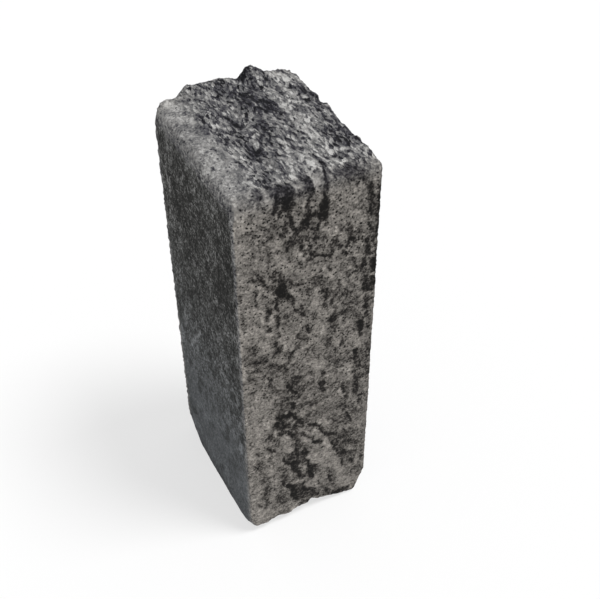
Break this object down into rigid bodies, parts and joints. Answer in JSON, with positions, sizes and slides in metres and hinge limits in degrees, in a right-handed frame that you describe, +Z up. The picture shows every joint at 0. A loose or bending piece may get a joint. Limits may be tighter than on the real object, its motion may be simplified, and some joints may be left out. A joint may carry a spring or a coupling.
{
  "type": "concrete palisade",
  "caption": "Upright cast concrete edging block with moulded sides, a rough split top, worn edges and a chipped foot.",
  "frame": {"origin": "middle of the foot, at the level that the block stands on", "axes": "+Z up the block, +X across the marbled front face, front face towards -Y"},
  "size_m": [0.127, 0.156, 0.4173],
  "materials": {
    "concrete": "cast grey concrete with a charcoal marbled face mix, matt, split on top"
  },
  "bodies": {
    "root": {"palisade_block": "concrete"}
  },
  "joints": []
}
